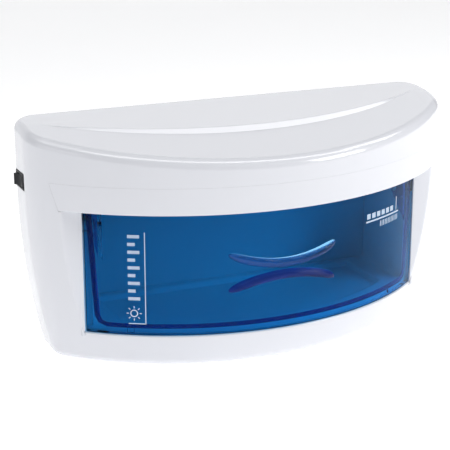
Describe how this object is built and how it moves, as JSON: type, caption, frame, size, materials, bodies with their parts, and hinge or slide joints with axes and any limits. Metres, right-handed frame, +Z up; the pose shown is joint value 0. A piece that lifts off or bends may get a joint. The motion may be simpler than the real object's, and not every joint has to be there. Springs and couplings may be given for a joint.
{
  "type": "uv sterilizer cabinet",
  "caption": "Half-moon tabletop cabinet with a curved tinted door on side pins, a white liner, a germicidal tube under the ceiling and a side rocker switch.",
  "frame": {"origin": "on the table, under the middle of the cabinet's footprint", "axes": "+X to the right as seen from the door, +Y towards the flat back, +Z up"},
  "size_m": [0.3757, 0.1402, 0.1956],
  "materials": {
    "white_abs": "high gloss white",
    "white_satin": "fine satin grain",
    "liner_white": "gloss",
    "foot_rubber": "matte",
    "screw_steel": "zinc plated",
    "door_blue": "tinted transparent acrylic, polished",
    "reflector_aluminium": "bright rolled",
    "holder_white": "satin",
    "lamp_glass": "clear quartz glass",
    "ballast_iron": "dipped lacquer",
    "switch_black": "satin black",
    "terminal_brass": "tinned brass",
    "lead_insulation": "extruded sleeve"
  },
  "bodies": {
    "cabinet": {"outer_shell": "white_abs", "visor_strip": "white_abs", "rear_panel": "white_satin", "base_plate": "white_satin", "foot_front_left": "foot_rubber", "foot_front_right": "foot_rubber", "foot_rear_left": "foot_rubber", "foot_rear_right": "foot_rubber", "rear_screw_1": "screw_steel", "rear_screw_2": "screw_steel", "rear_screw_3": "screw_steel", "rear_screw_4": "screw_steel", "base_screw_1": "screw_steel", "base_screw_2": "screw_steel", "base_screw_3": "screw_steel", "base_screw_4": "screw_steel", "chamber_liner": "liner_white", "hinge_pin_left": "screw_steel", "hinge_pin_right": "screw_steel", "lamp_reflector": "reflector_aluminium", "lamp_holder_left": "holder_white", "lamp_holder_right": "holder_white", "ballast": "ballast_iron", "ballast_screw_1": "screw_steel", "ballast_screw_2": "screw_steel", "starter_socket": "holder_white", "terminal_block": "holder_white", "cord_gland": "switch_black", "gland_nut": "switch_black", "switch_housing": "switch_black", "switch_terminal_front": "terminal_brass", "switch_terminal_rear": "terminal_brass", "lead_switch_to_ballast": "lead_insulation", "lead_switch_to_block": "lead_insulation", "lead_ballast_to_left_holder": "lead_insulation", "lead_ballast_to_starter": "lead_insulation", "lead_starter_to_right_holder": "lead_insulation", "lead_gland_to_block": "lead_insulation"},
    "door": {"door_panel": "door_blue"},
    "rocker": {"rocker_button": "switch_black"},
    "lamp": {"lamp_tube": "lamp_glass", "lamp_cap_left": "reflector_aluminium", "lamp_cap_right": "reflector_aluminium"},
    "starter": {"starter_can": "liner_white"}
  },
  "joints": [
    {"name": "door_swing", "type": "hinge", "parent": "cabinet", "child": "door", "pos_m": [0, 0.008, 0.116], "axis": [-1, 0, 0], "range_deg": [0, 35]},
    {"name": "rocker_tilt", "type": "hinge", "parent": "cabinet", "child": "rocker", "pos_m": [-0.1805, 0.0405, 0.1495], "axis": [0, 0, -1], "range_deg": [0, 22]},
    {"name": "lamp_twist", "type": "hinge", "parent": "cabinet", "child": "lamp", "pos_m": [0, 0.045, 0.124], "axis": [1, 0, 0], "range_deg": [0, 90]},
    {"name": "starter_twist", "type": "hinge", "parent": "cabinet", "child": "starter", "pos_m": [0.082, 0.042, 0.151], "axis": [0, 0, 1], "range_deg": [0, 45]}
  ]
}
